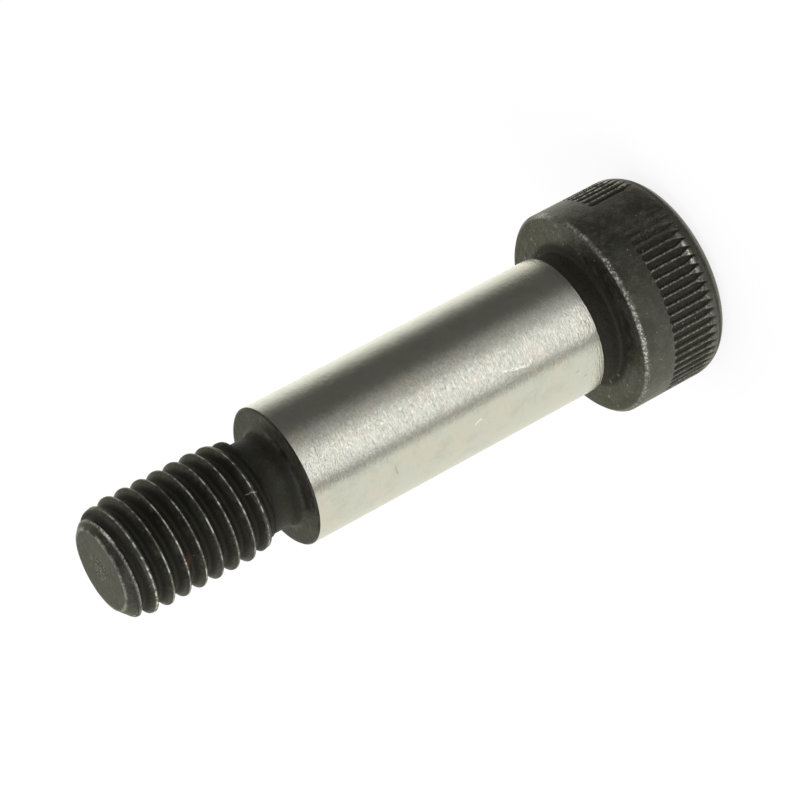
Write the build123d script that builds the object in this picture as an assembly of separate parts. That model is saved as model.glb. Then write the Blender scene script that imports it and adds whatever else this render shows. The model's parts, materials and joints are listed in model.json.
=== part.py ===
from build123d import *
import os
from math import ceil, cos, radians, sin, tan

# Socket-head shoulder bolt, all sizes in millimetres and all angles in degrees.
# It stands on the flat drive face of its head: that face is at z = 0, and the thread points up.

# Head
head_diameter = 17.9
head_height = 9.0
head_edge_radius = 2.1  # round between the drive face and the side
head_edge_flats = 5  # narrow cones that make up that round
rim_chamfer = 0.3  # broken edge between the side and the bearing face

# Straight knurl: grooves along the side, with one plain stretch where the knurl fades out
knurl_count = 70
knurl_collar = 3.0  # plain side between the bearing face and the grooves
knurl_edge_margin = 0.05  # plain side between the grooves and the edge round
knurl_depth = 0.2
knurl_width = 0.6  # one groove's width at the side
knurl_flank_angle = 60.0  # included angle of one groove's two flanks
knurl_phase = 2.0  # direction of the first groove
knurl_gap_direction = 315.0  # middle of the plain stretch
knurl_gap_width = 19.0
knurl_fade_width = 26.0  # stretch before the plain one, in which the grooves get smaller
knurl_least_share = 0.2  # a groove smaller than this share of a full one is left out

# Hex socket
socket_across_flats = 6.0
socket_depth = 5.0
socket_point_angle = 120.0  # drill point below the flats
socket_point_diameter = 5.8
socket_mouth_diameter = 7.3  # countersink that clears the corners of the hexagon
socket_mouth_angle = 90.0

# Shoulder, with an undercut against the bearing face
shoulder_diameter = 12.0
shoulder_length = 30.2  # bearing face to the shoulder's end face
shoulder_edge = 0.15  # broken edge at both ends
undercut_diameter = 11.4
undercut_width = 1.9
undercut_corner = 0.4  # sloped corner against the bearing face

# Neck between the shoulder and the thread
neck_diameter = 7.8
neck_length = 2.6
neck_corner = 0.6  # sloped corner against the shoulder's end face
neck_end_angle = 65.0  # slope from the neck up to the thread, measured from the axis

# Thread M10 x 1.5, right hand
thread_diameter = 9.74
thread_pitch = 1.5
thread_depth = 0.85
thread_flank_angle = 60.0
thread_crest_share = 0.125  # width of the flat crest, as a share of the pitch
thread_phase = 44.4  # direction in which a crest leaves the plane of the shoulder's end face
low_crest_diameter = 8.94  # over the first and the last crest, which are not rolled up fully
neck_taper_length = 2.1  # from the low crest at the neck to the full thread
point_taper_length = 1.7  # from the full thread to the low crest at the point
point_length = 16.25  # the shoulder's end face to the tip
point_diameter = 7.1
point_angle = 47.0
cutter_lift = 0.08  # how far the thread's cutter stands proud of the crests
cutter_clearance = 0.1  # the cutter's first turn to the shoulder's end face

# Places that follow from those sizes
head_radius = head_diameter / 2
shoulder_radius = shoulder_diameter / 2
undercut_r = undercut_diameter / 2
neck_r = neck_diameter / 2
thread_radius = thread_diameter / 2
low_crest_r = low_crest_diameter / 2
point_r = point_diameter / 2
bearing_z = head_height
undercut_z = bearing_z + undercut_width
shoulder_end_z = bearing_z + shoulder_length
neck_end_z = shoulder_end_z + neck_length
thread_start_z = neck_end_z + (low_crest_r - neck_r) / tan(radians(neck_end_angle))
tip_z = shoulder_end_z + point_length
point_z = tip_z - (low_crest_r - point_r) / tan(radians(point_angle))


def head_edge():
    """Points of the head's round edge in the half profile, from its side to its drive face."""
    centre = head_radius - head_edge_radius
    turns = [radians(90) * flat / head_edge_flats for flat in range(head_edge_flats + 1)]
    return [
        (centre + head_edge_radius * cos(turn), head_edge_radius * (1 - sin(turn)))
        for turn in turns
    ]


def turned_blank():
    """The bolt as it is turned, before its knurl, socket and thread are made."""
    profile = Polygon(
        (0, 0),
        (0, tip_z),
        (point_r, tip_z),
        (low_crest_r, point_z),
        (thread_radius, point_z - point_taper_length),
        (thread_radius, thread_start_z + neck_taper_length),
        (low_crest_r, thread_start_z),
        (neck_r, neck_end_z),
        (neck_r, shoulder_end_z + neck_corner),
        (neck_r + neck_corner, shoulder_end_z),
        (shoulder_radius - shoulder_edge, shoulder_end_z),
        (shoulder_radius, shoulder_end_z - shoulder_edge),
        (shoulder_radius, undercut_z + shoulder_edge),
        (shoulder_radius - shoulder_edge, undercut_z),
        (undercut_r, undercut_z),
        (undercut_r, bearing_z + undercut_corner),
        (undercut_r + undercut_corner, bearing_z),
        (head_radius - rim_chamfer, bearing_z),
        (head_radius, bearing_z - rim_chamfer),
        *head_edge(),
        align=None,
    )
    return revolve(Plane.XZ * profile, Axis.Z)


def hex_socket():
    """The hole of the drive: hexagon, drill point and countersunk mouth."""
    across_radius = socket_across_flats / 2
    point_radius = socket_point_diameter / 2
    mouth_radius = socket_mouth_diameter / 2
    hexagon = extrude(RegularPolygon(across_radius, 6, major_radius=False), socket_depth)
    point_height = point_radius / tan(radians(socket_point_angle / 2))
    point = Pos(0, 0, socket_depth) * Cone(
        point_radius, 0, point_height, align=(Align.CENTER, Align.CENTER, Align.MIN)
    )
    mouth_height = mouth_radius / tan(radians(socket_mouth_angle / 2))
    mouth = Cone(mouth_radius, 0, mouth_height, align=(Align.CENTER, Align.CENTER, Align.MIN))
    return hexagon + point + mouth


def groove_share(direction):
    """Size of the groove at a direction, as a share of a full one: 0 on the plain stretch."""
    gap_start = knurl_gap_direction - knurl_gap_width / 2
    before_gap = (gap_start - direction) % 360
    if before_gap > 360 - knurl_gap_width:
        return 0.0
    return min(1.0, before_gap / knurl_fade_width)


def knurl_grooves():
    """One cutter for each groove of the knurl, as wide at the side as the groove is."""
    low = head_edge_radius + knurl_edge_margin
    high = bearing_z - knurl_collar
    flank = tan(radians(knurl_flank_angle / 2))
    cutters = []
    for index in range(knurl_count):
        direction = (knurl_phase + index * 360 / knurl_count) % 360
        share = groove_share(direction)
        if share < knurl_least_share:
            continue
        depth = share * knurl_depth
        half_mouth = share * knurl_width / 2
        half_floor = half_mouth - depth * flank
        half_outside = half_mouth + depth * flank
        section = Polygon(
            (head_radius - depth, -half_floor),
            (head_radius + depth, -half_outside),
            (head_radius + depth, half_outside),
            (head_radius - depth, half_floor),
            align=None,
        )
        cutters.append(Rot(0, 0, direction) * Pos(0, 0, low) * extrude(section, high - low))
    return cutters


def thread_cutters():
    """The space between the turns of the thread: one helical cutter for each turn."""
    flank = tan(radians(thread_flank_angle / 2))
    crest = thread_pitch * thread_crest_share
    half_mouth = (thread_pitch - crest) / 2 + cutter_lift * flank
    half_root = half_mouth - (thread_depth + cutter_lift) * flank
    # At thread_phase the grooves lie half a pitch above the crests. The first turn starts round
    # the neck, as low as it can clear of the shoulder, and the last one runs out past the tip.
    middle_z = shoulder_end_z + thread_pitch / 2
    least_z = shoulder_end_z + cutter_clearance + half_mouth
    start_z = middle_z + thread_pitch * ceil((least_z - middle_z) / thread_pitch)
    turns = ceil((tip_z + half_mouth - start_z) / thread_pitch)
    path = Helix(
        pitch=thread_pitch, height=thread_pitch, radius=thread_radius, center=(0, 0, start_z)
    )
    section = Plane.XZ * Polygon(
        (thread_radius - thread_depth, start_z - half_root),
        (thread_radius + cutter_lift, start_z - half_mouth),
        (thread_radius + cutter_lift, start_z + half_mouth),
        (thread_radius - thread_depth, start_z + half_root),
        align=None,
    )
    turn = Rot(0, 0, thread_phase) * sweep(section, path=path, is_frenet=True)
    return [Pos(0, 0, index * thread_pitch) * turn for index in range(turns)]


def shoulder_bolt():
    """The finished bolt, one solid."""
    bolt = turned_blank() - hex_socket()
    bolt -= knurl_grooves()
    bolt -= thread_cutters()
    return bolt


os.makedirs("parts", exist_ok=True)
export_step(shoulder_bolt(), "parts/shoulder_bolt.step")
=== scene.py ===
import json
import logging
from dataclasses import dataclass
from enum import Enum
from math import cos, degrees, hypot, pi, radians, sin, tan

import bpy
import numpy as np
from mathutils import Matrix, Vector


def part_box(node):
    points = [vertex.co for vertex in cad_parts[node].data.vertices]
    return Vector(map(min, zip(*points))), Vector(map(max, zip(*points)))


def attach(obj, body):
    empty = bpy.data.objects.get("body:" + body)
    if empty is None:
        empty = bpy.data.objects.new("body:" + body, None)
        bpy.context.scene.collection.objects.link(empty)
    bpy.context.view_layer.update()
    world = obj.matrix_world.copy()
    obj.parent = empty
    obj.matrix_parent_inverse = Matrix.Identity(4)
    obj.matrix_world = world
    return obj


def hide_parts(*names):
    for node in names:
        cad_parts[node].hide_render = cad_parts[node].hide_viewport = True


# The looks of a socket-head shoulder bolt that stands on the drive face of its head: the knurled
# head and the threaded end are black oxide, and the shoulder between them is ground bright.
# Sub-assemblies are measured in millimetres, and their meshes are written in metres.

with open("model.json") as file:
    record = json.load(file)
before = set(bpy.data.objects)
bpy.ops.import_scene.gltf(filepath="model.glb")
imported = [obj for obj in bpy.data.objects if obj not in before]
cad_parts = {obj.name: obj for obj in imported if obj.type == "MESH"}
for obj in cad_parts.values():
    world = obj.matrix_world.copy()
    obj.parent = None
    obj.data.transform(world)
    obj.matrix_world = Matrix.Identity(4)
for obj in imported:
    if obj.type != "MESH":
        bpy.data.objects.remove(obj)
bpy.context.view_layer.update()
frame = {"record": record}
MM = 0.001
NODE = "shoulder_bolt"
BODY = "root"
Colour = tuple[float, float, float, float]
Stops = list[tuple[float, float]]
log = logging.getLogger(NODE)


# ---------------------------------------------------------------- shader maths


def grey(level: float) -> Colour:
    """A grey of that level."""
    return (level, level, level, 1.0)


@dataclass(frozen=True)
class Field:
    """A value that may change over a surface: one output socket, used like a number."""

    tree: "Tree"
    socket: bpy.types.NodeSocket

    def __add__(self, other: "Field | float") -> "Field":
        """Sum of two values."""
        return self.tree.maths("ADD", self, other)

    def __radd__(self, other: float) -> "Field":
        """Sum of a number and a value."""
        return self.tree.maths("ADD", other, self)

    def __sub__(self, other: "Field | float") -> "Field":
        """Difference of two values."""
        return self.tree.maths("SUBTRACT", self, other)

    def __rsub__(self, other: float) -> "Field":
        """A number less a value."""
        return self.tree.maths("SUBTRACT", other, self)

    def __mul__(self, other: "Field | float") -> "Field":
        """Product of two values."""
        return self.tree.maths("MULTIPLY", self, other)

    def __rmul__(self, other: float) -> "Field":
        """Product of a number and a value."""
        return self.tree.maths("MULTIPLY", other, self)

    def __truediv__(self, other: "Field | float") -> "Field":
        """Quotient of two values."""
        return self.tree.maths("DIVIDE", self, other)

    def __abs__(self) -> "Field":
        """Size of the value, without its sign."""
        return self.tree.maths("ABSOLUTE", self)

    def rising(self, low: float, high: float) -> "Field":
        """0 below low and 1 above high, with a smooth step between them."""
        return self.tree.step(self, low, high, 0.0, 1.0)

    def falling(self, low: float, high: float) -> "Field":
        """1 below low and 0 above high, with a smooth step between them."""
        return self.tree.step(self, low, high, 1.0, 0.0)

    def near(self, middle: float, reach: float) -> "Field":
        """1 at the middle, falling smoothly to 0 at that reach on both sides."""
        return abs(self - middle).falling(0.0, reach)

    def larger(self, other: "Field | float") -> "Field":
        """The larger of two values."""
        return self.tree.maths("MAXIMUM", self, other)


class Tree:
    """A node tree that is written as expressions."""

    def __init__(self, nodes: bpy.types.NodeTree) -> None:
        """Takes over an empty or default tree.

        Args:
            nodes: the node tree of a material or a world.
        """
        self.nodes = nodes
        nodes.nodes.clear()

    def node(
        self,
        kind: str,
        settings: dict[str, object] | None = None,
        inputs: dict[str | int, object] | None = None,
    ) -> bpy.types.Node:
        """Adds one node.

        Args:
            kind: the node's type.
            settings: its properties, set first; "stops" are the stops of its ramp.
            inputs: a number, a colour or a Field for each named or numbered socket.

        Returns:
            The new node.
        """
        made = self.nodes.nodes.new(kind)
        for name, value in (settings or {}).items():
            if name == "stops":
                self._set_stops(made.color_ramp, value)
            else:
                setattr(made, name, value)
        for name, value in (inputs or {}).items():
            if isinstance(value, Field):
                self.nodes.links.new(value.socket, made.inputs[name])
            else:
                made.inputs[name].default_value = value
        return made

    @staticmethod
    def _set_stops(ramp: bpy.types.ColorRamp, stops: Stops) -> None:
        """Gives a ramp its stops.

        Args:
            ramp: the ramp, with its two default stops.
            stops: place and grey level of each stop, from left to right.
        """
        while len(ramp.elements) < len(stops):
            ramp.elements.new(1.0)
        for element, (place, level) in zip(ramp.elements, stops):
            element.position = place
            element.color = grey(level)

    def maths(self, operation: str, *values: "Field | float") -> Field:
        """One Math node on values and numbers."""
        made = self.node("ShaderNodeMath", {"operation": operation}, dict(enumerate(values)))
        return Field(self, made.outputs[0])

    def step(self, value: Field, low: float, high: float, before: float, after: float) -> Field:
        """A smooth step of a value.

        Args:
            value: what is measured.
            low: where the step starts.
            high: where the step ends.
            before: the result below low.
            after: the result above high.

        Returns:
            The stepped value.
        """
        made = self.node(
            "ShaderNodeMapRange",
            {"interpolation_type": "SMOOTHSTEP"},
            {"Value": value, "From Min": low, "From Max": high, "To Min": before, "To Max": after},
        )
        return Field(self, made.outputs["Result"])

    def mix(self, share: Field, first: object, second: object) -> Field:
        """A colour between two colours.

        Args:
            share: 0 for the first colour and 1 for the second.
            first: a colour or a Field.
            second: a colour or a Field.

        Returns:
            The mixed colour.
        """
        made = self.node("ShaderNodeMix", {"data_type": "RGBA"}, {0: share, 6: first, 7: second})
        return Field(self, made.outputs[2])

    def scaled(self, vector: Field, scale: tuple[float, float, float]) -> Field:
        """A vector with each of its parts scaled by its own number."""
        made = self.node("ShaderNodeVectorMath", {"operation": "MULTIPLY"}, {0: vector, 1: scale})
        return Field(self, made.outputs[0])

    def tinted(self, level: Field, tint: tuple[float, float, float]) -> Field:
        """A colour of that tint, as bright as the level."""
        return self.scaled(self.joined(level, level, level), tint)

    def added(self, first: Field, second: Field) -> Field:
        """Sum of two vectors or colours."""
        made = self.node("ShaderNodeVectorMath", {"operation": "ADD"}, {0: first, 1: second})
        return Field(self, made.outputs[0])

    def joined(self, x: object, y: object, z: object) -> Field:
        """A vector of three values or numbers."""
        made = self.node("ShaderNodeCombineXYZ", inputs={0: x, 1: y, 2: z})
        return Field(self, made.outputs[0])

    def parts(self, vector: Field) -> tuple[Field, Field, Field]:
        """The three parts of a vector."""
        made = self.node("ShaderNodeSeparateXYZ", inputs={0: vector})
        return tuple(Field(self, output) for output in made.outputs)

    def noise(self, at: Field, detail: float, rough: float) -> Field:
        """Soft noise about 0.5, with features about 1 long in the units of its place.

        Args:
            at: the place that is read.
            detail: how many finer layers it has.
            rough: how strong the finer layers are.

        Returns:
            The noise, from 0 to 1.
        """
        made = self.node(
            "ShaderNodeTexNoise",
            {"noise_dimensions": "3D"},
            {"Vector": at, "Scale": 1.0, "Detail": detail, "Roughness": rough},
        )
        return Field(self, made.outputs["Fac"])

    def specks(self, at: Field, size: float, share: float) -> Field:
        """Scattered round specks, at most one in each cell 1 long.

        Args:
            at: the place that is read.
            size: radius of the largest speck, in cells.
            share: share of the cells that hold a speck.

        Returns:
            1 on a speck and 0 between them.
        """
        cells = self.node("ShaderNodeTexVoronoi", inputs={"Vector": at, "Scale": 1.0})
        chance, weight, _ = self.parts(Field(self, cells.outputs["Color"]))
        distance = Field(self, cells.outputs["Distance"])
        reach = weight * (0.7 * size) + 0.3 * size
        inside = (distance / reach).falling(0.6, 1.0)
        return inside * chance.falling(share, share + 0.01)


@dataclass(frozen=True)
class Mark:
    """A scratch or a nick: direction in degrees and height in millimetres of its two ends."""

    start: tuple[float, float]
    end: tuple[float, float]
    width: float = 0.09


class Surface(Tree):
    """The node tree of one finish, with the place on the bolt at hand in millimetres."""

    def __init__(self, material: bpy.types.Material) -> None:
        """Starts a finish.

        Args:
            material: the material that is filled.
        """
        material.use_nodes = True
        super().__init__(material.node_tree)
        own = Field(self, self.node("ShaderNodeTexCoord").outputs["Object"])
        self.at = self.scaled(own, (1 / MM, 1 / MM, 1 / MM))
        self.x, self.y, self.z = self.parts(self.at)
        self.radius = self.maths("SQRT", self.x * self.x + self.y * self.y)
        self.turn = self.maths("ARCTAN2", self.x, self.y * -1.0) * degrees(1.0)

    def around(self, along: float, across: float) -> Field:
        """Place for marks that run round the axis on a cylinder.

        Args:
            along: marks per millimetre round the axis.
            across: marks per millimetre along the axis.

        Returns:
            The place to read noise at.
        """
        return self.scaled(self.at, (along, along, across))

    def rings(self, along: float, across: float) -> Field:
        """Place for marks that run round the axis on a flat face.

        Args:
            along: marks per millimetre round the axis, at 5 mm from it.
            across: marks per millimetre of radius.

        Returns:
            The place to read noise at.
        """
        reach = self.radius.larger(0.05)
        turned = 5.0 * along
        return self.joined(self.radius * across, self.x / reach * turned, self.y / reach * turned)

    def even(self, per_mm: float, detail: float, rough: float) -> Field:
        """Noise that looks the same in every direction.

        Args:
            per_mm: features per millimetre.
            detail: how many finer layers it has.
            rough: how strong the finer layers are.

        Returns:
            The noise, from 0 to 1.
        """
        return self.noise(self.scaled(self.at, (per_mm, per_mm, per_mm)), detail, rough)

    def speckle(self, per_mm: float, size: float, share: float) -> Field:
        """Specks that are spread alike in every direction.

        Args:
            per_mm: cells per millimetre.
            size: radius of the largest speck, in cells.
            share: share of the cells that hold a speck.

        Returns:
            1 on a speck and 0 between them.
        """
        return self.specks(self.scaled(self.at, (per_mm, per_mm, per_mm)), size, share)

    def marks(self, marks: tuple[Mark, ...], radius: float) -> Field:
        """Straight marks on a cylinder round the axis.

        Args:
            marks: the marks.
            radius: the cylinder's radius in millimetres.

        Returns:
            1 on a mark and 0 beside it.
        """
        wobble = (self.even(2.0, 2.0, 0.5) - 0.5) * 0.3
        fade = 0.15
        found = None
        for mark in marks:
            reach = radians(mark.end[0] - mark.start[0]) * radius
            rise = mark.end[1] - mark.start[1]
            length = hypot(reach, rise)
            side = (self.turn - mark.start[0]) * (radians(1.0) * radius)
            up = self.z - mark.start[1]
            along = side * (reach / length) + up * (rise / length)
            across = side * (rise / length) - up * (reach / length) + wobble
            inside = across.near(0.0, mark.width) * along.rising(0.0, fade)
            inside = inside * along.falling(length - fade, length)
            found = inside if found is None else found.larger(inside)
        return found

    def finish(self, height: Field, **sockets: object) -> None:
        """Ends the tree in one Principled shader.

        Args:
            height: height of the surface's relief, in millimetres.
            sockets: the shader's sockets by name, with _ for a space.
        """
        bump = self.node("ShaderNodeBump", inputs={"Distance": MM, "Height": height})
        values = {name.replace("_", " "): value for name, value in sockets.items()}
        values["Normal"] = Field(self, bump.outputs["Normal"])
        shader = self.node("ShaderNodeBsdfPrincipled", inputs=values)
        self.node("ShaderNodeOutputMaterial", inputs={0: Field(self, shader.outputs[0])})


# ---------------------------------------------------------------- finishes


class Slot(Enum):
    """The record's material slots."""

    BLACK_OXIDE = "black_oxide"
    GROUND_STEEL = "ground_steel"


@dataclass(frozen=True)
class Wear:
    """Black oxide's wear, painted shade and painted highlights: four shares from 0 to 1, and its
    own relief.
    """

    worn: Field  # where the oxide is worn through, and where highlights and glints are painted
    deep: Field  # painted shade in grooves, roots and corners, and dark spots: darker and duller
    rusty: Field  # where it has rusted
    dusted: Field  # where pale dust lies on it
    relief: Field  # height of the piece's own marks, in millimetres


@dataclass(frozen=True)
class Oxide:
    """Black oxide on steel: dark, satin and a little olive, worn bright where hands rub it."""

    dark: Colour = (0.0055, 0.0056, 0.0042, 1.0)
    body: Colour = (0.0115, 0.0115, 0.0085, 1.0)
    cool: Colour = (0.0200, 0.0220, 0.0230, 1.0)
    dusty: Colour = (0.072, 0.067, 0.046, 1.0)
    bare: Colour = (0.86, 0.84, 0.76, 1.0)
    rust: Colour = (0.110, 0.038, 0.014, 1.0)
    sheen: Colour = (1.0, 0.985, 0.84, 1.0)
    index: float = 1.78
    bare_metallic: float = 0.45
    cool_share: float = 0.7
    deep_share: float = 0.85
    dust_film: float = 0.5  # dust that lies all over
    laid_dust: float = 0.6  # dust that the piece's own wear asks for
    rough: float = 0.28
    grain_rough: float = 0.26
    deep_rough: float = 0.30
    rust_rough: float = 0.25
    grain_height: float = 0.04  # in millimetres, as is the next one
    cloud_height: float = 0.04

    def dress(self, surface: Surface, wear: Wear) -> None:
        """Fills a finish.

        Args:
            surface: the finish's node tree.
            wear: how the piece is worn.
        """
        cloud = surface.even(0.9, 3.0, 0.6)
        grain = surface.even(4.2, 3.0, 0.65)
        film = surface.even(2.0, 4.0, 0.7).rising(0.44, 0.64) * cloud.rising(0.30, 0.60)
        dust = film * self.dust_film * (1.0 - wear.deep) + wear.dusted * self.laid_dust
        chill = surface.even(0.45, 3.0, 0.65).rising(0.45, 0.60) * self.cool_share
        colour = surface.mix(cloud.rising(0.25, 0.75), self.dark, self.body)
        colour = surface.mix(chill, colour, self.cool)
        colour = surface.mix(dust, colour, self.dusty)
        # Painted shade: the grooves, the roots, the neck and the undercut take the dark colour,
        # and so do a few dark spots.
        colour = surface.mix(wear.deep * self.deep_share, colour, self.dark)
        colour = surface.mix(wear.rusty, colour, self.rust)
        # The bare colour marks wear, and also the painted highlights and glints.
        colour = surface.mix(wear.worn, colour, self.bare)
        rough = self.rough + self.grain_rough * grain
        rough = rough + self.deep_rough * wear.deep + self.rust_rough * wear.rusty
        height = wear.relief + (grain - 0.5) * self.grain_height
        surface.finish(
            height + (cloud - 0.5) * self.cloud_height,
            Base_Color=colour,
            Roughness=rough,
            Metallic=wear.worn * self.bare_metallic,
            IOR=self.index,
            Specular_Tint=self.sheen,
        )


@dataclass(frozen=True)
class Ground:
    """Cylindrically ground steel: fine marks round the axis, bright and slightly warm."""

    steel: Colour = (0.665, 0.670, 0.635, 1.0)
    warm: Colour = (0.690, 0.665, 0.610, 1.0)
    dull: Colour = (0.585, 0.595, 0.565, 1.0)
    bright: Colour = (0.840, 0.840, 0.800, 1.0)
    pit: Colour = (0.20, 0.19, 0.15, 1.0)
    scratch: Colour = (0.97, 0.97, 0.93, 1.0)
    rough: float = 0.13
    rubbed_turn: float = -2.0  # direction in degrees of the stretch where pale streaks are painted as a highlight
    rubbed_reach: float = 30.0
    fine_height: float = 0.024  # in millimetres, as are the next three
    short_height: float = 0.016
    rubbed_height: float = 0.008
    scratch_height: float = 0.012

    def material(
        self, radius: float, scratches: tuple[Mark, ...], nicks: tuple[Mark, ...]
    ) -> bpy.types.Material:
        """The finished material.

        Args:
            radius: radius of the ground cylinder, in millimetres.
            scratches: its pale scratches.
            nicks: its dark nicks.

        Returns:
            The material.
        """
        made = bpy.data.materials.new("ground_steel")
        surface = Surface(made)
        fine = surface.noise(surface.around(0.8, 8.0), 3.0, 0.65)
        short = surface.noise(surface.around(2.2, 6.0), 3.0, 0.65)
        grain = surface.noise(surface.around(5.0, 9.0), 3.0, 0.6)
        cloud = surface.noise(surface.around(0.8, 0.6), 3.0, 0.6)
        patch = surface.even(0.35, 4.0, 0.65)
        rubbed = surface.turn.near(self.rubbed_turn, self.rubbed_reach)
        pitted = surface.specks(surface.around(0.7, 2.6), 0.16, 0.16) * 0.35
        dark = (pitted * grain.rising(0.35, 0.60)).larger(surface.marks(nicks, radius) * 0.45)
        pale = surface.marks(scratches, radius) * grain.rising(0.20, 0.45)
        dullness = cloud.rising(0.45, 0.70) * 0.6 + fine.rising(0.45, 0.70) * 0.2
        colour = surface.mix(patch.rising(0.45, 0.60), self.steel, self.warm)
        colour = surface.mix(dullness, colour, self.dull)
        # Painted highlight: pale streaks in the band where the tent's bright strip is mirrored.
        colour = surface.mix(short.rising(0.52, 0.64) * rubbed * 0.7, colour, self.bright)
        colour = surface.mix(dark, colour, self.pit)
        colour = surface.mix(pale, colour, self.scratch)
        height = (fine - 0.5) * self.fine_height + pale * self.scratch_height
        height = height + (short - 0.5) * (self.short_height + rubbed * self.rubbed_height)
        surface.finish(
            height,
            Base_Color=colour,
            Roughness=self.rough + 0.08 * short + 0.05 * cloud + 0.3 * dark + 0.05 * pale,
            Metallic=1.0,
        )
        return made


# ---------------------------------------------------------------- meshes


@dataclass(frozen=True)
class Corner:
    """One corner of a turned outline."""

    r: float
    z: float
    rounding: float = 0.0
    arcs: int = 0  # steps round its own rounding
    run: int = 1  # steps to the next corner

    def point(self) -> Vector:
        """Its place as radius and height."""
        return Vector((self.r, self.z))


def outline(corners: list[Corner]) -> list[tuple[float, float]]:
    """The points of a turned outline with rounded corners.

    Args:
        corners: the outline's corners in order.

    Returns:
        Radius and height of each point.
    """
    points: list[Vector] = []
    for index, corner in enumerate(corners):
        here = corner.point()
        if corner.rounding and 0 < index < len(corners) - 1:
            points += _arc(corners[index - 1].point(), here, corners[index + 1].point(), corner)
        else:
            points.append(here)
        if index < len(corners) - 1 and corner.run > 1:
            later = corners[index + 2 : index + 3]
            points += _run(points[-1], corners[index + 1], later, corner.run)
    return [(point.x, point.y) for point in points]


def _arc(before: Vector, here: Vector, after: Vector, corner: Corner) -> list[Vector]:
    """The points round one rounded corner.

    Args:
        before: the corner before it.
        here: the corner itself.
        after: the corner after it.
        corner: its rounding and steps.

    Returns:
        The points, from the end of the run before to the start of the run after.
    """
    back = (before - here).normalized()
    on = (after - here).normalized()
    half = back.angle(on) / 2
    reach = corner.rounding / tan(half)
    centre = here + (back + on).normalized() * (corner.rounding / sin(half))
    start = here + back * reach - centre
    end = here + on * reach - centre
    sweep = start.angle(end)
    points = []
    for step in range(corner.arcs + 1):
        share = step / corner.arcs
        first = sin((1 - share) * sweep) / sin(sweep)
        second = sin(share * sweep) / sin(sweep)
        points.append(centre + start * first + end * second)
    return points


def _run(start: Vector, corner: Corner, later: list[Corner], steps: int) -> list[Vector]:
    """The points along a straight run, without its ends.

    Args:
        start: where the run starts.
        corner: the corner it runs to.
        later: the corner after that, if there is one.
        steps: the number of steps.

    Returns:
        The points between.
    """
    end = corner.point()
    if corner.rounding and later:
        back = (start - end).normalized()
        half = back.angle((later[0].point() - end).normalized()) / 2
        end = end + back * (corner.rounding / tan(half))
    return [start.lerp(end, step / steps) for step in range(1, steps)]


def smallest(first: np.ndarray, second: np.ndarray, blend: float) -> np.ndarray:
    """The smaller of two shapes, with a rounding of that size where they cross."""
    return (first + second - np.sqrt((first - second) ** 2 + blend**2)) / 2


def largest(first: np.ndarray, second: np.ndarray, blend: float) -> np.ndarray:
    """The larger of two shapes, with a rounding of that size where they cross."""
    return (first + second + np.sqrt((first - second) ** 2 + blend**2)) / 2


def smooth(value: np.ndarray) -> np.ndarray:
    """A smooth step from 0 to 1 of values from 0 to 1."""
    held = np.clip(value, 0.0, 1.0)
    return held * held * (3 - 2 * held)


class Skin:
    """A closed skin round the axis, from one pole over rings of points to the other pole."""

    def __init__(self, columns: int) -> None:
        """Starts an empty skin.

        Args:
            columns: the number of points round the axis.
        """
        self.columns = columns
        self.angles = np.arange(columns) * 2 * pi / columns
        self.points: list[np.ndarray] = []
        self.faces: list[tuple[int, ...]] = []
        self.size = 0
        self.last: np.ndarray | None = None

    def add_points(self, radius: np.ndarray, height: np.ndarray) -> np.ndarray:
        """Adds one point at each angle.

        Args:
            radius: their distances from the axis.
            height: their heights.

        Returns:
            The points' numbers.
        """
        radius = np.broadcast_to(radius, self.angles.shape)
        height = np.broadcast_to(height, self.angles.shape)
        x, y = radius * np.cos(self.angles), radius * np.sin(self.angles)
        self.points.append(np.stack((x, y, height), axis=1))
        self.size += self.columns
        return np.arange(self.size - self.columns, self.size)

    def pole(self, height: float) -> None:
        """Adds a point on the axis: the skin's first, or its last.

        Args:
            height: its height.
        """
        self.points.append(np.array([[0.0, 0.0, height]]))
        pole = self.size
        self.size += 1
        if self.last is None:
            self.last = np.full(self.columns, pole)
        else:
            self.join(np.full(self.columns, pole))

    def ring(self, radius: np.ndarray, height: np.ndarray) -> None:
        """Adds a ring and joins it to the one before."""
        self.join(self.add_points(np.asarray(radius), np.asarray(height)))

    def join(self, ring: np.ndarray) -> None:
        """Joins a ring of point numbers to the last one, and makes it the last.

        Args:
            ring: the numbers of its points.
        """
        following = np.roll(np.arange(self.columns), -1)
        for column, after in enumerate(following):
            self.face(self.last[column], self.last[after], ring[after], ring[column])
        self.last = ring

    def face(self, *corners: int) -> None:
        """Adds a face without the corners that fall together.

        Args:
            corners: the point numbers in order.
        """
        kept = [int(c) for index, c in enumerate(corners) if c != corners[index - 1]]
        if len(set(kept)) > 2:
            self.faces.append(tuple(dict.fromkeys(kept)))

    def piece(self, name: str, material: bpy.types.Material) -> bpy.types.Object:
        """Makes the skin a piece of the bolt.

        Args:
            name: the piece's name.
            material: its finish.

        Returns:
            The piece, riding on the bolt's body.
        """
        points = np.concatenate(self.points) * MM
        used = sorted({corner for face in self.faces for corner in face})
        number = {old: new for new, old in enumerate(used)}
        faces = [[number[corner] for corner in face] for face in self.faces]
        mesh = bpy.data.meshes.new(name)
        mesh.from_pydata(points[used].tolist(), [], faces)
        mesh.polygons.foreach_set("use_smooth", [True] * len(mesh.polygons))
        mesh.set_sharp_from_angle(angle=radians(38))
        mesh.materials.append(material)
        mesh.update()
        made = bpy.data.objects.new(name, mesh)
        bpy.context.scene.collection.objects.link(made)
        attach(made, BODY)
        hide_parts(NODE)
        log.info("%s: %d points, %d faces", name, len(mesh.vertices), len(mesh.polygons))
        return made


# ---------------------------------------------------------------- sub-assemblies


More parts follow.
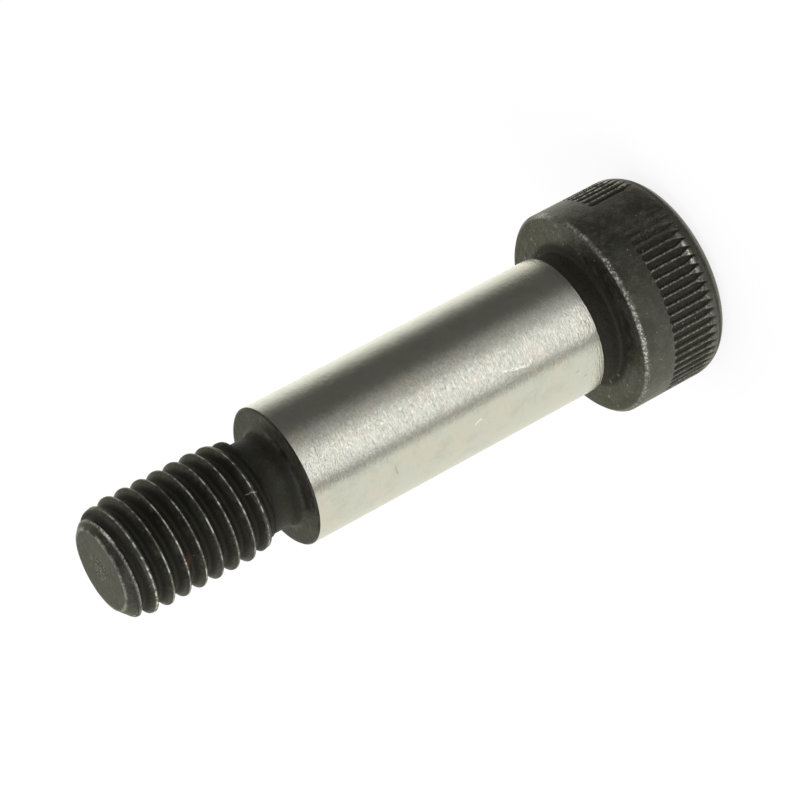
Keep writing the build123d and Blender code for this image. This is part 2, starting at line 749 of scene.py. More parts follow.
@dataclass(frozen=True)
class Stations:
    """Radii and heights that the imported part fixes, in millimetres."""

    head_r: float
    bearing_z: float
    shoulder_r: float
    shoulder_end_z: float
    thread_r: float
    socket_r: float
    socket_depth: float
    tip_z: float

    @classmethod
    def of_frame(cls) -> "Stations":
        """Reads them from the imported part's box and mounts.

        Returns:
            The radii and heights.
        """
        low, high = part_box(NODE)
        mounts = {mount["name"]: mount for mount in frame["record"]["mounts"]}
        return cls(
            head_r=(high.x - low.x) / 2 / MM,
            bearing_z=mounts["bearing_face"]["pos_m"][2] / MM,
            shoulder_r=mounts["shoulder"]["dims"]["r_mm"],
            shoulder_end_z=mounts["shoulder_end_face"]["pos_m"][2] / MM,
            thread_r=mounts["thread"]["dims"]["r_mm"],
            socket_r=mounts["hex_socket"]["dims"]["r_mm"],
            socket_depth=mounts["hex_socket"]["dims"]["length_mm"],
            tip_z=high.z / MM,
        )


@dataclass(frozen=True)
class KnurledHead:
    """The head: hex socket, round edge, straight knurl, plain collar, bearing face, undercut."""

    at: Stations
    columns_per_groove: int = 15
    grooves: int = 70
    groove_depth: float = 0.24
    groove_floor: float = 0.22  # half widths, as shares of the pitch
    groove_mouth: float = 0.455
    groove_low: float = 1.60
    groove_high: float = 6.05
    groove_end: float = 0.22  # length of the rounded end near the collar
    groove_point: float = 1.1  # length of the pointed end near the drive face
    point_bow: float = 0.7  # under 1, the point's sides bow outwards
    fade_narrowing: float = 0.25
    first_groove: float = 2.0  # directions and widths in degrees
    gap_direction: float = 315.0
    gap_width: float = 19.0
    fade_width: float = 26.0
    edge_radius: float = 2.1
    rim_chamfer: float = 0.3
    rim_round: float = 0.07
    mouth_r: float = 3.65
    mouth_break: float = 0.03
    point_r: float = 2.9
    point_slope: float = 60.0  # degrees from the axis
    undercut_r: float = 5.7
    undercut_round: float = 0.3
    undercut_width: float = 1.9

    def top_z(self) -> float:
        """Height at which the shoulder takes over from the undercut."""
        return self.at.bearing_z + self.undercut_width

    def groove_share(self, angles: np.ndarray) -> np.ndarray:
        """Size of the knurl at each angle, as a share of a full groove.

        Args:
            angles: directions in radians.

        Returns:
            1 on the full knurl and 0 on the plain stretch.
        """
        gap_start = self.gap_direction - self.gap_width / 2
        before_gap = (gap_start - np.degrees(angles)) % 360
        share = np.minimum(1.0, before_gap / self.fade_width)
        return np.where(before_gap > 360 - self.gap_width, 0.0, share)

    def groove_depths(self, angles: np.ndarray, height: float) -> np.ndarray:
        """Depth of the knurl at each angle.

        Args:
            angles: directions in radians.
            height: height above the drive face.

        Returns:
            Depths below the head's side.
        """
        pitch = 360 / self.grooves
        place = (np.degrees(angles) - self.first_groove) / pitch
        off_middle = np.abs(place - np.round(place))
        middle = np.radians(np.round(place) * pitch + self.first_groove)
        share = self.groove_share(middle)
        run_out = float(np.clip((self.groove_high - height) / self.groove_end, 0, 1))
        point = float(np.clip((height - self.groove_low) / self.groove_point, 0, 1))
        ends = point**self.point_bow * (1 - (1 - run_out) ** 2) ** 0.5
        half = self.groove_mouth * (1 - self.fade_narrowing * (1 - share)) * ends
        across = smooth((half - off_middle) / (self.groove_mouth - self.groove_floor))
        return self.groove_depth * share * across

    def socket_rings(self, skin: Skin) -> None:
        """Adds the socket, from its drill point to the drive face.

        Args:
            skin: the head's skin, still without a ring.
        """
        depth, mouth_r, point_r = self.at.socket_depth, self.mouth_r, self.point_r
        hexagon = self.at.socket_r / np.cos((skin.angles + pi / 6) % (pi / 3) - pi / 6)
        mouth_z = mouth_r - hexagon
        wall_z = mouth_z + self.mouth_break
        point_rise = point_r / tan(radians(self.point_slope))
        skin.pole(depth + point_rise)
        for share in (0.15, 0.5, 0.97):
            skin.ring(point_r * share, depth + point_rise * (1 - share))
        for share in (0.03, 0.5, 0.97):
            skin.ring(point_r + (hexagon - point_r) * share, depth)
        for share in (0.004, 0.1, 0.3, 0.5, 0.7, 0.85, 0.95, 1.0):
            skin.ring(hexagon, depth + (wall_z - depth) * share)
        for share in (0.12, 0.35, 0.65, 0.9):
            skin.ring(hexagon + (mouth_r - hexagon) * share, mouth_z * (1 - share))

    def outside(self) -> list[tuple[float, float]]:
        """The outline outside the socket, from the drive face to the undercut's end.

        Returns:
            Radius and height of each point.
        """
        r, z = self.at.head_r, self.at.bearing_z
        low_fine = self.groove_low + self.groove_point
        high_fine = self.groove_high - 1.3 * self.groove_end
        return outline(
            [
                Corner(self.mouth_r + 0.05, 0.0, run=4),
                Corner(r, 0.0, self.edge_radius, 18, run=8),
                Corner(r, low_fine, run=5),
                Corner(r, high_fine, run=6),
                Corner(r, self.groove_high + 0.03, run=7),
                Corner(r, z - self.rim_chamfer, self.rim_round, 3, run=2),
                Corner(r - self.rim_chamfer, z, self.rim_round, 3, run=7),
                Corner(self.undercut_r, z, self.undercut_round, 5, run=3),
                Corner(self.undercut_r, self.top_z()),
            ]
        )

    def material(self) -> bpy.types.Material:
        """Black oxide, worn as the head is.

        Returns:
            The material.
        """
        made = bpy.data.materials.new("black_oxide_head")
        surface = Surface(made)
        Oxide().dress(surface, HeadWear(self, surface).wear())
        return made

    def build(self) -> bpy.types.Object:
        """Makes and dresses the head.

        Returns:
            The piece.
        """
        skin = Skin(self.columns_per_groove * self.grooves)
        self.socket_rings(skin)
        for r, z in self.outside():
            on_side = self.groove_low < z < self.groove_high and r > self.at.head_r - 0.05
            skin.ring(r - self.groove_depths(skin.angles, z) if on_side else r, z)
        skin.pole(self.top_z())
        return skin.piece("knurled_head", self.material())


class HeadWear:
    """Where the head is worn, dusty, rusty and darker in a patch, and where shade and highlights
    are painted.
    """

    # Directions in degrees, and how far each stretch reaches to both sides.
    rim_turn, rim_reach = -38.0, 60.0
    far_rim_turn, far_rim_reach = 76.0, 16.0
    bright_turn, bright_reach = 2.0, 17.0
    fade_turn, fade_reach = 22.0, 15.0
    stain_turn, stain_reach = 6.0, 24.0
    rust_turn, rust_reach = 45.0, 5.0

    def __init__(self, head: KnurledHead, surface: Surface) -> None:
        """Reads the places and the noise that the parts of the wear share.

        Args:
            head: the head's sizes.
            surface: the node tree of the head's finish.
        """
        self.surface = surface
        self.turn, self.z, self.radius = surface.turn, surface.z, surface.radius
        self.side_r, self.bearing_z = head.at.head_r, head.at.bearing_z
        self.low, self.high = head.groove_low, head.groove_high
        self.flakes = surface.even(7.0, 4.0, 0.7)
        self.fine = surface.even(4.5, 4.0, 0.7)
        self.rings = surface.noise(surface.rings(0.35, 5.0), 3.0, 0.6)
        inner, outer = self.side_r - 0.35, self.side_r - 0.25
        self.on_side = self.radius.rising(inner, outer)
        self.on_face = self.radius.falling(inner, outer) * self.z.near(self.bearing_z, 0.12)
        # Flecks on the bearing face only towards its sides: dust and bare specks, and also painted
        # reflection.
        self.flecks = self.on_face * surface.speckle(1.8, 0.40, 0.60)
        self.flecks = self.flecks * abs(self.turn).rising(40.0, 80.0)
        self.lands = self.find_lands()
        self.fading = self.turn.near(self.fade_turn, self.fade_reach) * self.on_side
        self.fading = self.fading * self.z.near(self.low + 2.4, 2.6)
        # The undercut and the inner ring of the bearing face beside it, where shade is painted.
        self.undercut = self.radius.falling(6.1, 6.7)
        self.undercut = self.undercut * self.z.rising(self.bearing_z - 0.1, self.bearing_z)

    def find_lands(self) -> Field:
        """Finds the knurl's lands.

        Returns:
            1 on a land and 0 elsewhere.
        """
        knurled = self.turn.falling(2.0, 20.0) + self.turn.rising(54.0, 56.0)
        lands = self.radius.rising(self.side_r - 0.07, self.side_r - 0.02) * knurled
        lands = lands * self.z.falling(self.high - 0.15, self.high + 0.05)
        return lands * self.z.rising(self.low + 0.1, self.low + 0.5)

    def worn_rim(self) -> Field:
        """Rubs the broken edge round the bearing face in a ragged line, and paints a highlight at
        76 degrees.

        Returns:
            1 where it is rubbed through.
        """
        middle = self.bearing_z - 0.15
        ragged = self.z + (self.flakes - 0.5) * 0.7
        rim = ragged.near(middle, 0.24) * self.on_side
        rim = rim * (self.turn.near(self.rim_turn, self.rim_reach) * 0.7 + 0.45)
        rim = rim * self.turn.falling(15.0, 75.0)
        stretches = self.surface.even(0.5, 1.0, 0.5).rising(0.30, 0.60) * 0.9 + 0.25
        worn = rim * self.fine.rising(0.46, 0.60) * stretches
        worn = worn * (self.turn.rising(-50.0, -15.0) * 0.55 + 0.45) + rim * 0.12
        # Painted highlight along the rim at 76 degrees, where its bevel would catch the light.
        far_rim = ragged.near(middle, 0.35) * self.on_side
        far_rim = far_rim * self.turn.near(self.far_rim_turn, self.far_rim_reach)
        return worn + far_rim * self.flakes.rising(0.35, 0.60) * 0.6

    def worn_knurl(self) -> Field:
        """Rubs the lands in flecks, paints a highlight on them at 50 to 75 degrees, and glints on
        their ends.

        Returns:
            1 where they are worn through, and where highlights and glints are painted.
        """
        # Painted highlight: the lands are worn lighter from 50 to 75 degrees, where light grazes
        # them.
        share = self.turn.rising(50.0, 75.0) * 0.5 + 0.24
        # Painted glints on the lands' ends, on the stretch round 2 degrees.
        ends = self.lands * self.z.near(self.low + 0.55, 0.25)
        ends = ends * self.turn.near(self.bright_turn, self.bright_reach)
        worn = self.lands * self.fine.rising(0.44, 0.60) * share
        worn = worn + ends * self.flakes.rising(0.44, 0.52)
        return worn + self.fading * self.fine.rising(0.50, 0.60) * 0.05

    def deep(self) -> Field:
        """Paints shade into the grooves and the undercut; darkens the fading stretch a little, and
        a patch.

        Returns:
            1 where the head is dark and dull.
        """
        # Painted shade in the knurl's grooves; the fading stretch gets a little of it too.
        grooves = self.radius.falling(self.side_r - 0.20, self.side_r - 0.06) * self.on_side
        grooves = grooves * self.z.falling(self.high - 0.10, self.high + 0.05)
        grooves = grooves * (self.fine.falling(0.50, 0.66) * 0.4 + 0.6)
        # A mottled darker patch on the collar, round 6 degrees.
        stain = self.turn.near(self.stain_turn, self.stain_reach) * self.on_side
        stain = stain * self.z.rising(self.high - 0.45, self.high + 0.25)
        stain = stain * self.flakes.falling(0.42, 0.60) * 0.55
        return grooves + self.undercut + self.fading * 0.25 + stain

    def dusted(self) -> Field:
        """Dusts the face's sides in rings and flecks and the lands of both sides, partly as
        painted light.

        Returns:
            1 where dust lies.
        """
        rings = self.rings.rising(0.42, 0.58) * 0.7 + 0.20
        # Dust in rings towards the face's sides, which also stands in for the tent's reflected
        # light.
        face = self.on_face * abs(self.turn).rising(30.0, 75.0) * rings
        # Dust on the lands, and with it a painted highlight: strong from 50 to 75 degrees, weak
        # below -55.
        sides = self.turn.rising(50.0, 75.0) * 1.5 + self.turn.falling(-75.0, -55.0) * 0.4
        return face + self.flecks * 0.9 + self.lands * sides

    def wear(self) -> Wear:
        """Joins the parts of the wear.

        Returns:
            The head's wear.
        """
        deep = self.deep()
        specks = self.surface.speckle(1.9, 0.13, 0.40) * (1.0 - self.undercut)
        rust = self.turn.near(self.rust_turn, self.rust_reach)
        rust = rust * self.z.near(self.low + 0.6, 0.4) * self.flakes.rising(0.44, 0.60) * 0.5
        patches = self.surface.even(0.7, 3.0, 0.6)
        relief = (self.rings - 0.5) * 0.03 * self.on_face + (patches - 0.5) * 0.10
        cast = 0.05 * self.on_side + 0.12 * self.fading + 0.08 * deep
        return Wear(
            worn=self.worn_rim() + self.worn_knurl() + specks * 0.35 + self.flecks * 0.18,
            deep=deep,
            rusty=rust,
            dusted=self.dusted(),
            relief=relief + (self.fine - 0.5) * cast,
        )


@dataclass(frozen=True)
class GroundShoulder:
    """The shoulder: a ground cylinder with a broken edge at its head end."""

    at: Stations
    start_z: float
    edge: float = 0.15
    columns: int = 480
    rows: int = 24
    scratches: tuple[Mark, ...] = (
        Mark((-11.0, 20.4), (-15.5, 18.6), 0.22),
        Mark((-15.3, 18.8), (-16.8, 17.7), 0.26),
        Mark((-16.6, 17.75), (-12.0, 17.5), 0.24),
        Mark((-40.0, 24.0), (-37.0, 23.2), 0.12),
        Mark((6.0, 37.4), (-4.0, 37.5), 0.12),
    )
    nicks: tuple[Mark, ...] = (
        Mark((-47.0, 31.6), (-36.5, 31.75)),
        Mark((-50.5, 13.1), (-49.0, 12.7), 0.12),
        Mark((-42.5, 13.9), (-41.5, 13.5), 0.12),
        Mark((-61.0, 11.9), (-58.0, 11.6), 0.10),
    )

    def end_z(self) -> float:
        """Height at which the threaded end takes over."""
        return self.at.shoulder_end_z - self.edge

    def build(self) -> bpy.types.Object:
        """Makes and dresses the shoulder.

        Returns:
            The piece.
        """
        skin = Skin(self.columns)
        r = self.at.shoulder_r
        skin.pole(self.start_z)
        corners = [
            Corner(r / 2, self.start_z, run=2),
            Corner(r - self.edge, self.start_z, 0.03, 2),
            Corner(r, self.start_z + self.edge, 0.06, 3, run=self.rows),
            Corner(r, self.end_z()),
            Corner(r / 2, self.end_z()),
        ]
        for radius, height in outline(corners):
            skin.ring(radius, height)
        skin.pole(self.end_z())
        material = Ground().material(r, self.scratches, self.nicks)
        return skin.piece("ground_shoulder", material)


@dataclass(frozen=True)
class ThreadedEnd:
    """The threaded end: shoulder end face, neck, thread and chamfered tip."""

    at: Stations
    start_z: float
    columns: int = 300
    pitch: float = 1.5
    phase: float = 44.4  # direction in degrees in which a crest leaves the shoulder's end face
    depth: float = 0.85
    flank_angle: float = 30.0
    crest_share: float = 0.125
    row_blend: float = 0.03
    row_hold: float = 0.004  # rows nearer than this to the thread's ends fall on them
    half_rows: tuple[float, ...] = (  # rows from a crest's middle to the root's, in pitches
        0.0, 0.032, 0.052, 0.064, 0.076, 0.096, 0.14, 0.20, 0.26, 0.32, 0.36, 0.395, 0.425, 0.46,
    )
    crest_round: float = 0.05
    root_round: float = 0.10
    neck_r: float = 3.9
    neck_round: float = 0.75
    neck_length: float = 2.6
    neck_end_angle: float = 65.0
    low_crest_r: float = 4.47
    neck_taper_length: float = 2.1
    point_taper_length: float = 1.7
    tip_r: float = 3.55
    tip_round: float = 0.10
    tip_angle: float = 47.0
    plain_tip: float = 0.2  # length of the chamfer above the thread's last row
    edge_round: float = 0.05
    sheen: Colour = (0.62, 0.61, 0.52, 1.0)

    def crest_offsets(self) -> np.ndarray:
        """Places of one turn's rows, in pitches from the crest's middle."""
        below = [-row for row in self.half_rows[:0:-1]]
        return np.array([-0.5, *below, *self.half_rows])

    def blank_radius(self, height: np.ndarray) -> np.ndarray:
        """Radius of the blank before its thread is cut.

        Args:
            height: heights above the drive face.

        Returns:
            Radii of the neck, the crests' envelope or the tip's cone.
        """
        neck_end = self.at.shoulder_end_z + self.neck_length
        first = neck_end + (self.low_crest_r - self.neck_r) / tan(radians(self.neck_end_angle))
        last = self.at.tip_z - (self.low_crest_r - self.tip_r) / tan(radians(self.tip_angle))
        full = [first + self.neck_taper_length, last - self.point_taper_length]
        places = [neck_end, first, *full, last, self.at.tip_z]
        full_r = self.at.thread_r
        radii = [self.neck_r, self.low_crest_r, full_r, full_r, self.low_crest_r, self.tip_r]
        return np.interp(height, places, radii)

    def thread_radius(self, offset: np.ndarray) -> np.ndarray:
        """Radius of the thread's own profile.

        Args:
            offset: distances along the axis from the nearest crest's middle.

        Returns:
            Radii from root to crest.
        """
        slope = 1 / tan(radians(self.flank_angle))
        half_crest = self.crest_share * self.pitch / 2
        flank = self.at.thread_r - (np.abs(offset) - half_crest) * slope
        crest = smallest(flank, np.full_like(flank, self.at.thread_r), self.crest_round)
        return largest(crest, np.full_like(flank, self.at.thread_r - self.depth), self.root_round)

    def thread_rings(self, skin: Skin, low: float, high: float) -> None:
        """Adds the thread as rows that climb one pitch a turn, held between two heights.

        Args:
            skin: the end's skin, whose last ring is the neck's.
            low: height of that ring.
            high: height at which the plain tip starts.
        """
        offsets = self.crest_offsets()
        climb = skin.angles / (2 * pi)
        shift = self.phase / 360
        first = int(np.floor((low - self.at.shoulder_end_z) / self.pitch)) - 2
        last = int(np.ceil((high - self.at.shoulder_end_z) / self.pitch)) + 2
        top_ring = skin.add_points(self.blank_radius(np.full(1, high))[0], high)
        rows = []
        for turn in range(first, last + 1):
            for offset in offsets:
                height = self.at.shoulder_end_z + self.pitch * (turn + offset + climb - shift)
                radius = smallest(
                    self.thread_radius(np.full_like(height, offset * self.pitch)),
                    self.blank_radius(height),
                    self.row_blend,
                )
                if height.max() <= low:
                    rows.append(skin.last)
                elif height.min() >= high:
                    rows.append(top_ring)
                else:
                    own = skin.add_points(radius, height)
                    own = np.where(height <= low + self.row_hold, skin.last, own)
                    rows.append(np.where(height >= high - self.row_hold, top_ring, own))
        rows = np.array(rows)
        turn_rows = len(offsets)
        for row in range(len(rows) - turn_rows - 1):
            for column in range(skin.columns):
                wraps = column == skin.columns - 1
                after, up = (0, turn_rows) if wraps else (column + 1, 0)
                skin.face(
                    rows[row, column],
                    rows[row + up, after],
                    rows[row + 1 + up, after],
                    rows[row + 1, column],
                )
        skin.last = top_ring

    def material(self) -> bpy.types.Material:
        """Black oxide, worn as the threaded end is.

        Returns:
            The material.
        """
        made = bpy.data.materials.new("black_oxide_thread")
        surface = Surface(made)
        Oxide(sheen=self.sheen).dress(surface, ThreadWear(self, surface).wear())
        return made

    def build(self) -> bpy.types.Object:
        """Makes and dresses the threaded end.

        Returns:
            The piece.
        """
        skin = Skin(self.columns)
        end_z, tip_z = self.at.shoulder_end_z, self.at.tip_z
        r = self.at.shoulder_r
        edge = end_z - self.start_z
        thread_z = end_z + self.neck_length
        plain_tip_z = tip_z - self.plain_tip
        skin.pole(self.start_z)
        corners = [
            Corner(r / 2, self.start_z, run=2),
            Corner(r, self.start_z),
            Corner(r - edge, end_z, self.edge_round, 3, run=4),
            Corner(self.neck_r, end_z, self.neck_round, 8, run=4),
            Corner(self.neck_r, thread_z),
        ]
        for radius, height in outline(corners):
            skin.ring(radius, height)
        self.thread_rings(skin, thread_z, plain_tip_z)
        tip_start = self.tip_r + (tip_z - plain_tip_z) * tan(radians(self.tip_angle))
        tip = [
            Corner(tip_start, plain_tip_z),
            Corner(self.tip_r, tip_z, self.tip_round, 6, run=6),
            Corner(0.2, tip_z),
        ]
        for radius, height in outline(tip)[1:]:
            skin.ring(radius, height)
        skin.pole(tip_z)
        return skin.piece("threaded_end", self.material())


class ThreadWear:
    """Where the threaded end is worn, scuffed, dusty and rusty, and where shade and glints are
    painted.
    """

    # Directions in degrees, and how far each stretch reaches to both sides.
    chip_turn, chip_reach = 30.0, 16.0
    rust_turn, rust_reach = -37.0, 9.0
    face_turn, face_reach = 10.0, 70.0
    # A short hair scratch over the crests: directions, and heights above the shoulder's end face.
    hair_start, hair_end, hair_width = (-1.4, 4.54), (-4.2, 3.55), 0.07

    def __init__(self, end: ThreadedEnd, surface: Surface) -> None:
        """Reads the places and the noise that the parts of the wear share.

        Args:
            end: the threaded end's sizes.
            surface: the node tree of its finish.
        """
        self.end = end
        self.surface = surface
        self.turn, self.z, self.radius = surface.turn, surface.z, surface.radius
        self.crest_r, self.tip_z = end.at.thread_r, end.at.tip_z
        self.face_z = end.at.shoulder_end_z
        self.flakes = surface.even(5.0, 4.0, 0.7)
        self.stretches = surface.even(0.8, 1.0, 0.5)
        climb = (self.turn - (90.0 + end.phase)) * (1 / 360)
        turns_up = (self.z - self.face_z) * (1 / end.pitch)
        self.off_crest = abs(surface.maths("WRAP", turns_up - climb, 0.5, -0.5))
        self.last_edge = self.find_last_edge()
        self.rim = self.z.rising(self.tip_z - 0.22, self.tip_z - 0.06)
        self.rim = self.rim * self.radius.near(end.tip_r - 0.03, 0.24)
        self.on_tip = self.z.rising(self.tip_z - 0.02, self.tip_z - 0.01)
        self.scuff = self.on_tip * self.radius.falling(0.4, 1.7)
        self.neck = self.z.near(self.face_z + 1.4, 1.4)

    def find_last_edge(self) -> Field:
        """Finds the edge where the last flank meets the tip's chamfer, as a ragged line.

        Returns:
            1 on the edge and 0 elsewhere.
        """
        past_crest = self.off_crest * self.end.pitch - 0.09
        flank_r = self.crest_r - past_crest * (1 / tan(radians(self.end.flank_angle)))
        chamfer_r = (self.tip_z - self.z) * tan(radians(self.end.tip_angle)) + self.end.tip_r
        edge = (flank_r - chamfer_r + (self.flakes - 0.5) * 1.2).near(0.15, 0.45)
        edge = edge * self.z.rising(self.tip_z - 1.05, self.tip_z - 0.85)
        return edge * self.radius.rising(3.8, 4.0)

    def worn_crests(self) -> Field:
        """Rubs the crests in broken lines, with a painted highlight that is strongest below -15
        degrees.

        Returns:
            1 where they are worn through, and where the highlight is painted.
        """
        on_thread = self.z.rising(self.face_z + 2.7, self.face_z + 3.2)
        crest = self.off_crest.falling(0.015, 0.055) * on_thread * self.radius.rising(4.2, 4.35)
        low_crest = self.off_crest.falling(0.05, 0.10) * self.z.near(self.tip_z - 2.3, 1.0)
        # Painted highlight: crest lines full below -15 degrees, falling to 0.4 above 55.
        handled = self.turn.falling(-15.0, 55.0) * 0.6 + 0.4
        broken = self.surface.even(2.2, 3.0, 0.65).rising(0.44, 0.62) * 0.62 + 0.12
        worn = (crest + low_crest * 0.3) * handled * broken
        return worn * (self.stretches.rising(0.30, 0.60) * 0.8 + 0.2)

    def worn_tip(self) -> Field:
        """Rubs the tip's edges and the middle of its face, and paints a glint on the last edge at
        30 degrees.

        Returns:
            1 where they are worn through, and where the glint is painted.
        """
        # Painted glint on the last edge, round 30 degrees.
        chip = self.last_edge * self.turn.near(self.chip_turn, self.chip_reach)
        edges = self.last_edge * self.flakes.rising(0.36, 0.60) * 0.35
        edges = edges + chip * self.flakes.rising(0.30, 0.50) * 0.6
        rim = self.rim * self.flakes.rising(0.30, 0.64) * self.stretches.rising(0.35, 0.60)
        return edges + rim * 0.4 + self.scuff * self.flakes.rising(0.54, 0.62) * 0.30

    def deep(self) -> Field:
        """Paints shade into the thread's roots and the neck, and darkens the pits of the scuffed
        tip.

        Returns:
            1 where the end is dark and dull.
        """
        # Painted shade in the thread's roots and, less strongly, on the neck.
        deep = self.radius.falling(self.crest_r - 0.7, self.crest_r - 0.15)
        deep = deep * self.z.rising(self.face_z + 0.1, self.face_z + 0.4)
        deep = deep * self.z.falling(self.tip_z - 0.9, self.tip_z - 0.5) * (1.0 - self.neck * 0.5)
        return deep + self.scuff * self.flakes.falling(0.40, 0.46)

    def dusted(self) -> Field:
        """Dusts the tip's face, the neck and the shoulder's end face.

        Returns:
            1 where dust lies.
        """
        tip = self.on_tip * (self.flakes.rising(0.35, 0.65) * 0.3 + 0.25)
        neck = self.neck * self.flakes.rising(0.45, 0.65) * 0.14
        face = self.turn.near(self.face_turn, self.face_reach) * 0.5 + 0.1
        return tip + neck + self.z.near(self.face_z, 0.02) * face

    def worn_hair(self) -> Field:
        """1 on the hair scratch and 0 beside it."""
        ends = [(turn, self.face_z + up) for turn, up in (self.hair_start, self.hair_end)]
        return self.surface.marks((Mark(*ends, self.hair_width),), self.crest_r)

    def wear(self) -> Wear:
        """Joins the parts of the wear.

        Returns:
            The threaded end's wear.
        """
        specks = self.surface.speckle(1.7, 0.09, 0.22)
        spot = self.turn.near(self.rust_turn, self.rust_reach)
        spot = spot * self.z.near(self.face_z + 10.9, 0.7)
        turned = (self.surface.noise(self.surface.rings(0.4, 7.0), 2.0, 0.5) - 0.5) * 0.012
        dented = self.scuff + self.rim * 0.4 + self.last_edge * 0.4
        worn = self.worn_crests() + self.worn_tip() + specks * 0.35 + self.worn_hair() * 0.3
        return Wear(
            worn=worn,
            deep=self.deep(),
            rusty=spot * self.flakes.rising(0.30, 0.45),
            dusted=self.dusted(),
            relief=turned + (self.flakes - 0.5) * 0.10 * dented,
        )


# ---------------------------------------------------------------- studio


# Brightness of the tent by direction in degrees from the front: its walls below the horizon, a
# bright strip in front of them, and its walls above the horizon. Its top is dark. Heights in it
# are the upward part of a direction: -1 is straight down and 1 is straight up.
LOW_WALLS: Stops = [
    (-180.0, 0.93),
    (-53.0, 0.93),
    (-47.0, 0.07),
    (-38.0, 0.25),
    (16.0, 0.25),
    (50.0, 0.11),
    (98.0, 0.10),
    (108.0, 0.22),
    (116.0, 0.40),
    (132.0, 0.92),
    (146.0, 1.12),
    (180.0, 1.25),
]
STRIP: Stops = [
    (-180.0, 0.0),
    (-45.0, 0.0),
    (-37.0, 0.80),
    (-26.0, 1.34),
    (6.0, 1.30),
    (17.0, 0.50),
    (36.0, 0.25),
    (52.0, 0.0),
    (180.0, 0.0),
]
HIGH_WALLS: Stops = [
    (-180.0, 0.50),
    (-120.0, 0.60),
    (-60.0, 0.50),
    (0.0, 0.18),
    (60.0, 0.25),
    (120.0, 0.50),
    (180.0, 0.50),
]
STRIP_MIDDLE, STRIP_REACH = -0.40, 0.36
HORIZON = (-0.12, 0.20)
TOP_EDGE = (0.50, 0.85)
TOP_LEVEL = 0.06
LOW_TINT = (1.0, 1.0, 0.88)
HIGH_TINT = (1.0, 0.985, 0.80)
STRIP_TINT = (1.0, 1.0, 0.95)


@dataclass(frozen=True)
class Lamp:
    """A square soft lamp that faces the bolt, in degrees and metres."""

    name: str
    turn: float  # direction from the front, positive to the right
    elevation: float
    distance: float
    size: float
    level: float  # brightness on a white surface that faces it

    def place(self, target: Vector) -> None:
        """Hangs the lamp.

        Args:
            target: the point it faces, in metres.
        """
        light = bpy.data.lights.new(self.name, "AREA")
        light.shape = "SQUARE"
        light.size = self.size
        light.energy = self.level * (pi * self.distance) ** 2
        made = bpy.data.objects.new(self.name, light)
        turn, rise = radians(self.turn), radians(self.elevation)
        way = Vector((sin(turn) * cos(rise), -cos(turn) * cos(rise), sin(rise)))
        made.location = target + way * self.distance
        made.rotation_euler = way.to_track_quat("Z", "Y").to_euler()
        bpy.context.scene.collection.objects.link(made)


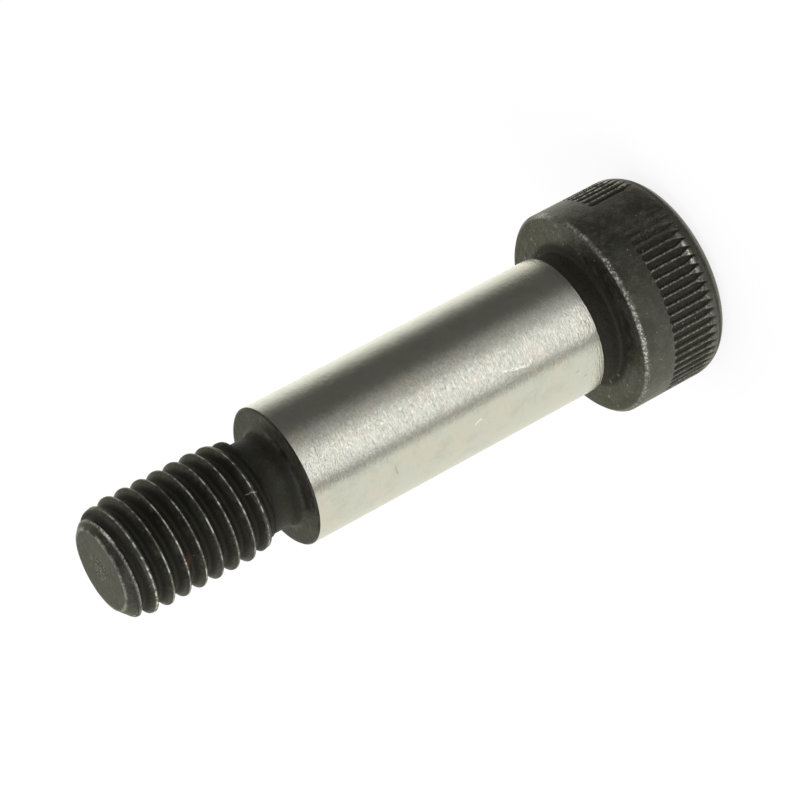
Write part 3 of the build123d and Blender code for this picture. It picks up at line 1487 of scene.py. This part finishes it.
@dataclass(frozen=True)
class Studio:
    """A white tent with soft lamps, a pale floor and the camera."""

    at: Stations
    elevation: float = 23.475  # of the camera, in degrees, as is its roll
    roll: float = 118.075
    lens: float = 157.57
    sensor: float = 36.0
    distance: float = 275.088  # from the shoulder's end face, in millimetres
    right: float = -9.820  # place of that face in the picture, in millimetres
    down: float = 6.057
    floor_size: float = 6.0  # in metres
    floor_drop: float = 0.02  # below the drive face, in millimetres
    floor_level: float = 0.86
    floor_seen: float = 0.17  # what the camera sees of the floor under light
    floor_glow: float = 0.855  # and what it sees without
    ambient: float = 0.78

    def camera(self) -> None:
        """Places the camera: in front, above the bearing face, and rolled over."""
        rise, roll = radians(self.elevation), radians(self.roll)
        ahead = Vector((0.0, cos(rise), -sin(rise)))
        level = Vector((1.0, 0.0, 0.0))
        sunk = Vector((0.0, -sin(rise), -cos(rise)))
        right = level * cos(roll) + sunk * sin(roll)
        down = sunk * cos(roll) - level * sin(roll)
        target = Vector((0.0, 0.0, self.at.shoulder_end_z))
        place = target - right * self.right - down * self.down - ahead * self.distance
        data = bpy.data.cameras.new("camera")
        data.lens = self.lens
        data.sensor_width = self.sensor
        data.clip_start = 0.01
        data.clip_end = 20.0
        made = bpy.data.objects.new("camera", data)
        turned = Matrix((right, -down, -ahead)).transposed().to_4x4()
        made.matrix_world = Matrix.Translation(place * MM) @ turned
        bpy.context.scene.collection.objects.link(made)
        bpy.context.scene.camera = made

    def floor(self) -> None:
        """Lays the pale floor, which metal does not mirror."""
        half, low = self.floor_size / 2, -self.floor_drop * MM
        mesh = bpy.data.meshes.new("floor")
        corners = [(-half, -half, low), (half, -half, low), (half, half, low), (-half, half, low)]
        mesh.from_pydata(corners, [], [(0, 1, 2, 3)])
        material = bpy.data.materials.new("floor")
        material.use_nodes = True
        tree = Tree(material.node_tree)
        path = tree.node("ShaderNodeLightPath")
        seen = Field(tree, path.outputs["Is Camera Ray"])
        shader = tree.node(
            "ShaderNodeBsdfPrincipled",
            inputs={
                "Base Color": tree.mix(seen, grey(self.floor_level), grey(self.floor_seen)),
                "Roughness": 0.9,
                "Specular IOR Level": 0.0,
                "Emission Color": tree.mix(seen, grey(0.0), grey(self.floor_glow)),
                "Emission Strength": 1.0,
            },
        )
        tree.node("ShaderNodeOutputMaterial", inputs={0: Field(tree, shader.outputs[0])})
        mesh.materials.append(material)
        made = bpy.data.objects.new("floor", mesh)
        made.visible_glossy = False
        bpy.context.scene.collection.objects.link(made)

    def tent(self) -> None:
        """Fills the world: even light, white to the camera, panels and gaps to metal."""
        world = bpy.data.worlds.new("tent")
        bpy.context.scene.world = world
        world.use_nodes = True
        world.cycles.sampling_method = "NONE"
        tree = Tree(world.node_tree)
        way = Field(tree, tree.node("ShaderNodeTexCoord").outputs["Generated"])
        x, y, z = tree.parts(way)
        turn = tree.maths("ARCTAN2", x, y * -1.0) / (2 * pi) + 0.5
        strip = self.panels(tree, turn, STRIP) * z.near(STRIP_MIDDLE, STRIP_REACH)
        low = self.panels(tree, turn, LOW_WALLS)
        high = self.panels(tree, turn, HIGH_WALLS) * z.falling(*TOP_EDGE) + TOP_LEVEL
        share = z.rising(*HORIZON)
        walls = tree.added(
            tree.tinted(low * (1.0 - share), LOW_TINT), tree.tinted(high * share, HIGH_TINT)
        )
        mirrored = tree.added(walls, tree.tinted(strip * (1.0 - share), STRIP_TINT))
        path = tree.node("ShaderNodeLightPath")
        mirrors = Field(tree, path.outputs["Is Glossy Ray"])
        colour = tree.mix(mirrors, grey(self.ambient), mirrored)
        colour = tree.mix(Field(tree, path.outputs["Is Camera Ray"]), colour, grey(1.0))
        shader = tree.node("ShaderNodeBackground", inputs={"Color": colour, "Strength": 1.0})
        tree.node("ShaderNodeOutputWorld", inputs={0: Field(tree, shader.outputs[0])})

    @staticmethod
    def panels(tree: Tree, turn: Field, stops: Stops) -> Field:
        """The tent's brightness round the bolt.

        Args:
            tree: the world's node tree.
            turn: direction, as a share of a full turn from behind over the left and the front.
            stops: direction in degrees, 0 in front and positive to the right, and brightness.

        Returns:
            The brightness as a colour.
        """
        places = [(place / 360 + 0.5, level) for place, level in stops]
        ramp = tree.node("ShaderNodeValToRGB", {"stops": places}, {0: turn})
        return Field(tree, ramp.outputs["Color"])

    def lamps(self) -> None:
        """Hangs the soft lamps."""
        middle = Vector((0.0, 0.0, self.at.shoulder_end_z / 2 * MM))
        Lamp("key", -55.0, 50.0, 0.7, 0.35, 0.22).place(middle)
        Lamp("back", 150.0, 60.0, 0.8, 0.5, 0.10).place(middle)

    def build(self) -> None:
        """Sets the studio up."""
        self.camera()
        self.floor()
        self.tent()
        self.lamps()
        bpy.context.scene.view_settings.view_transform = "Standard"
        log.info("studio: camera, floor, tent and lamps")


def main() -> None:
    """Builds the bolt from its head to its tip, and then the studio."""
    logging.basicConfig(level=logging.INFO, format="%(name)s: %(message)s")
    at = Stations.of_frame()
    head = KnurledHead(at)
    head.build()
    shoulder = GroundShoulder(at, head.top_z())
    shoulder.build()
    ThreadedEnd(at, shoulder.end_z()).build()
    Studio(at).build()


if __name__ == "__main__":
    main()
